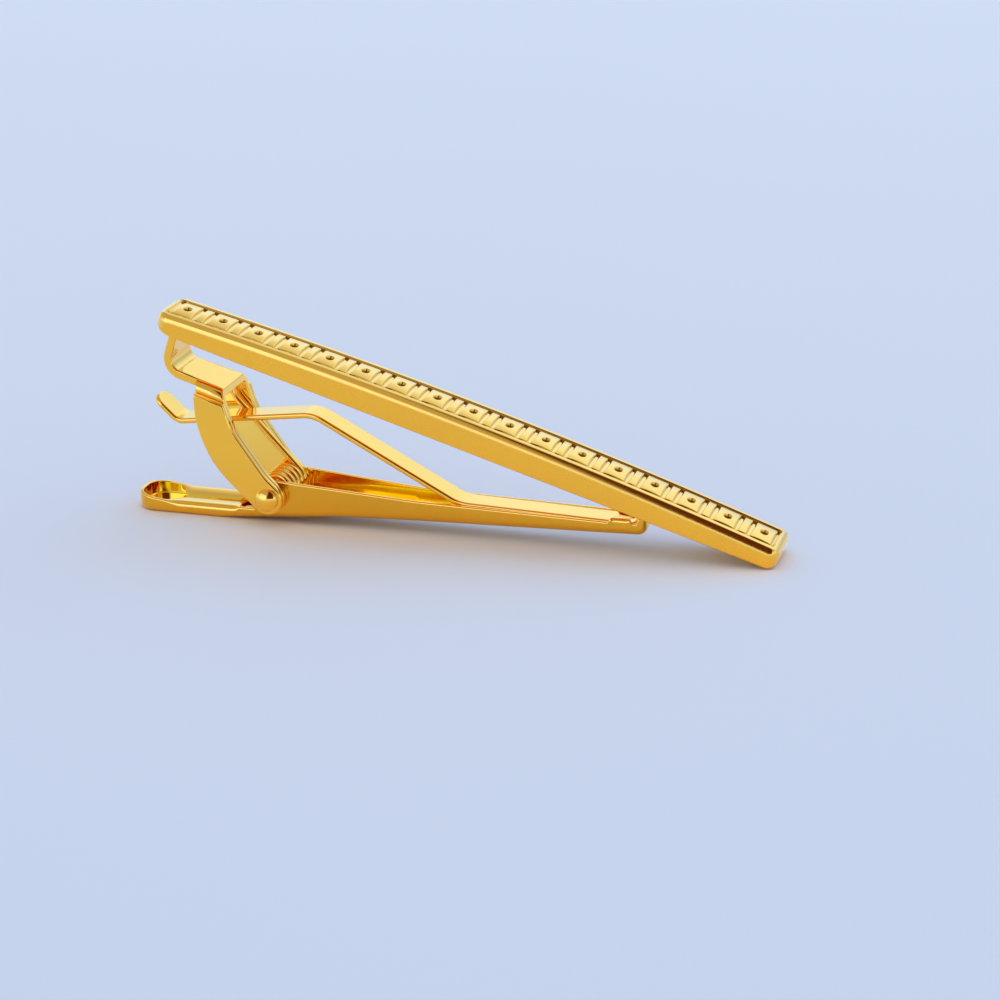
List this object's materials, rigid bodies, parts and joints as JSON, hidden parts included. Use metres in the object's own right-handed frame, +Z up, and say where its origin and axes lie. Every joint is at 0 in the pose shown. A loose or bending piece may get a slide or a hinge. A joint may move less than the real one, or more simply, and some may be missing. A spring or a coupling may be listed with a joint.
{
  "type": "tie clip",
  "caption": "Gold-toned spring tie clip with an arched bar in square relief, hinged jaw lever, hooked guard strip and a coiled torsion spring round a riveted pin",
  "frame": {"origin": "middle of the footprint's bounding box, on the table that the thumb end and the bar's low tip rest on", "axes": "+X from the thumb end towards the low tip of the bar, +Y across the clip to the rear side, +Z up"},
  "size_m": [0.0584, 0.0084, 0.0187],
  "materials": {
    "gold_ornament": "polished gold-toned plating on brass, softened relief",
    "gold_sheet": "bright gold-toned plating on pressed sheet",
    "gold_wire": "gold-toned drawn wire, slightly redder"
  },
  "bodies": {
    "bar": {"front_bar": "gold_ornament", "hinge_bracket": "gold_sheet", "front_side_plate": "gold_sheet", "rear_side_plate": "gold_sheet", "torsion_spring": "gold_wire", "pivot_rivet": "gold_sheet"},
    "lever": {"jaw_lever": "gold_sheet", "guard_strip": "gold_sheet"}
  },
  "joints": [
    {"name": "jaw_hinge", "type": "hinge", "parent": "bar", "child": "lever", "pos_m": [-0.01611, 0, 0.0025], "axis": [0, 1, 0], "range_deg": [0, 13], "stiffness_Nm_per_rad": 0.05, "springref_deg": -34.38, "deforming": ["torsion_spring"]}
  ]
}
